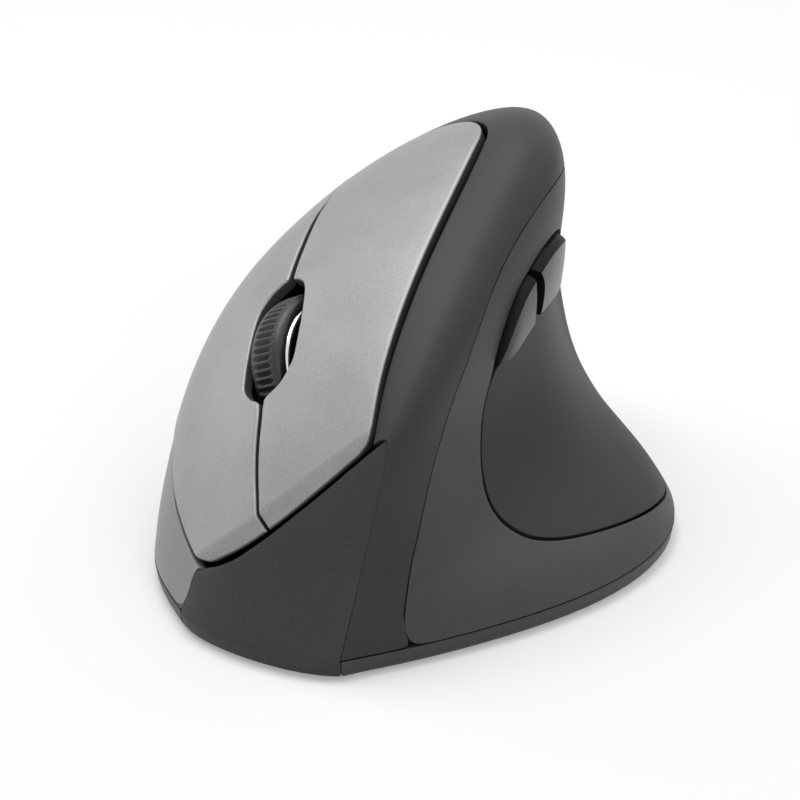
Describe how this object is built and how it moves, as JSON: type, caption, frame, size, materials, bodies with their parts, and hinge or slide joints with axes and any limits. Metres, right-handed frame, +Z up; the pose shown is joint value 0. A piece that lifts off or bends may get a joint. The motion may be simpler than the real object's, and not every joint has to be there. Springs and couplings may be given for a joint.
{
  "type": "vertical mouse",
  "caption": "Right-handed vertical computer mouse with a tall sloped body, two long main buttons around a scroll wheel, a scooped thumb rest and two thumb buttons.",
  "frame": {"origin": "on the table under the middle of the body, at the level of the glide feet", "axes": "+X to the thumb side, +Y from the nose to the heel, +Z up from the table"},
  "size_m": [0.081, 0.1076, 0.0659],
  "materials": {
    "silver": "satin metallic paint with a fine grain",
    "charcoal": "fine matte texture",
    "base_dark": "fine matte texture",
    "thumb_grey": "fine matte texture",
    "finger_grey": "satin",
    "grip_rubber": "matte soft touch",
    "thumb_buttons": "satin",
    "wheel_rubber": "ribbed",
    "wheel_core": "matte",
    "chrome": "polished",
    "steel": "bright",
    "inner_plastic": "matte",
    "board": "satin solder mask",
    "switches": "matte",
    "plungers": "matte",
    "glide": "waxy",
    "lens": "clear",
    "receiver": "matte",
    "slider": "matte",
    "cell": "printed sleeve",
    "cable": "matte"
  },
  "bodies": {
    "base": {"base_plate": "base_dark", "foot_front_finger": "glide", "foot_front_thumb": "glide", "foot_rear_finger": "glide", "foot_rear_thumb": "glide", "battery": "cell", "battery_cradle": "inner_plastic", "contact_plate": "steel", "contact_spring": "steel", "usb_receiver": "receiver", "power_switch": "switches", "main_board": "board", "sensor": "switches", "sensor_lens": "lens", "inner_frame": "inner_plastic", "button_board": "board", "primary_switch": "switches", "secondary_switch": "switches", "hinge_pin": "steel", "hinge_bracket": "inner_plastic", "wheel_switch": "switches", "front_cover": "charcoal", "main_shell": "charcoal", "finger_panel": "finger_grey", "thumb_panel": "thumb_grey", "thumb_rest": "grip_rubber", "thumb_bezel": "inner_plastic", "side_board": "board", "forward_switch": "switches", "back_switch": "switches", "case_screws": "steel", "ribbon_cable": "cable"},
    "primary": {"primary_button": "silver", "primary_actuator": "inner_plastic", "primary_hinge": "inner_plastic"},
    "secondary": {"secondary_button": "silver", "secondary_actuator": "inner_plastic", "secondary_hinge": "inner_plastic"},
    "cradle": {"wheel_cradle": "inner_plastic", "wheel_encoder": "switches"},
    "wheel": {"wheel_tyre": "wheel_rubber", "wheel_hub": "wheel_core", "wheel_ring_thumb": "chrome", "wheel_ring_finger": "chrome", "wheel_axle": "steel"},
    "forward": {"forward_button": "thumb_buttons"},
    "back": {"back_button": "thumb_buttons"},
    "power": {"power_slider": "slider"},
    "door": {"battery_door": "base_dark"},
    "primary_push": {"primary_plunger": "plungers"},
    "secondary_push": {"secondary_plunger": "plungers"},
    "wheel_push": {"wheel_plunger": "plungers"},
    "forward_push": {"forward_plunger": "plungers"},
    "back_push": {"back_plunger": "plungers"}
  },
  "joints": [
    {"name": "primary_press", "type": "hinge", "parent": "base", "child": "primary", "pos_m": [-0.01151, 0.01391, 0.04656], "axis": [0.7071, 0, 0.7071], "range_deg": [0, 0.35], "stiffness_Nm_per_rad": 6, "springref_deg": -0.06},
    {"name": "secondary_press", "type": "hinge", "parent": "base", "child": "secondary", "pos_m": [-0.01151, 0.01391, 0.04656], "axis": [0.7071, 0, 0.7071], "range_deg": [0, 0.35], "stiffness_Nm_per_rad": 6, "springref_deg": -0.06},
    {"name": "cradle_press", "type": "slide", "parent": "base", "child": "cradle", "axis": [0.4489, 0.5712, -0.6872], "range_m": [0, 0.0005], "stiffness_N_per_m": 3000, "springref_m": -0.0001},
    {"name": "wheel_spin", "type": "hinge", "parent": "cradle", "child": "wheel", "pos_m": [-0.00998, -0.01698, 0.03161], "axis": [0.8835, -0.1685, 0.4371], "continuous": true},
    {"name": "forward_press", "type": "slide", "parent": "base", "child": "forward", "axis": [-1, 0, 0], "range_m": [0, 0.0006], "stiffness_N_per_m": 2000, "springref_m": -0.0001},
    {"name": "back_press", "type": "slide", "parent": "base", "child": "back", "axis": [-1, 0, 0], "range_m": [0, 0.0006], "stiffness_N_per_m": 2000, "springref_m": -0.0001},
    {"name": "power_slide", "type": "slide", "parent": "base", "child": "power", "axis": [0, 1, 0], "range_m": [0, 0.0025]},
    {"name": "door_slide", "type": "slide", "parent": "base", "child": "door", "axis": [0, 1, 0], "range_m": [0, 0.058]},
    {"name": "primary_plunge", "type": "slide", "parent": "base", "child": "primary_push", "axis": [0.4489, 0.5712, -0.6872], "range_m": [0, 0.0004]},
    {"name": "secondary_plunge", "type": "slide", "parent": "base", "child": "secondary_push", "axis": [0.4489, 0.5712, -0.6872], "range_m": [0, 0.0004]},
    {"name": "wheel_plunge", "type": "slide", "parent": "base", "child": "wheel_push", "axis": [0.4489, 0.5712, -0.6872], "range_m": [0, 0.0006]},
    {"name": "forward_plunge", "type": "slide", "parent": "base", "child": "forward_push", "axis": [-1, 0, 0], "range_m": [0, 0.0008]},
    {"name": "back_plunge", "type": "slide", "parent": "base", "child": "back_push", "axis": [-1, 0, 0], "range_m": [0, 0.0008]}
  ],
  "couplings": [
    {"joint": "primary_plunge", "follows": "primary_press", "m_per_rad": 0.0474},
    {"joint": "secondary_plunge", "follows": "secondary_press", "m_per_rad": 0.04163},
    {"joint": "wheel_plunge", "follows": "cradle_press", "ratio": 1},
    {"joint": "forward_plunge", "follows": "forward_press", "ratio": 1},
    {"joint": "back_plunge", "follows": "back_press", "ratio": 1}
  ]
}
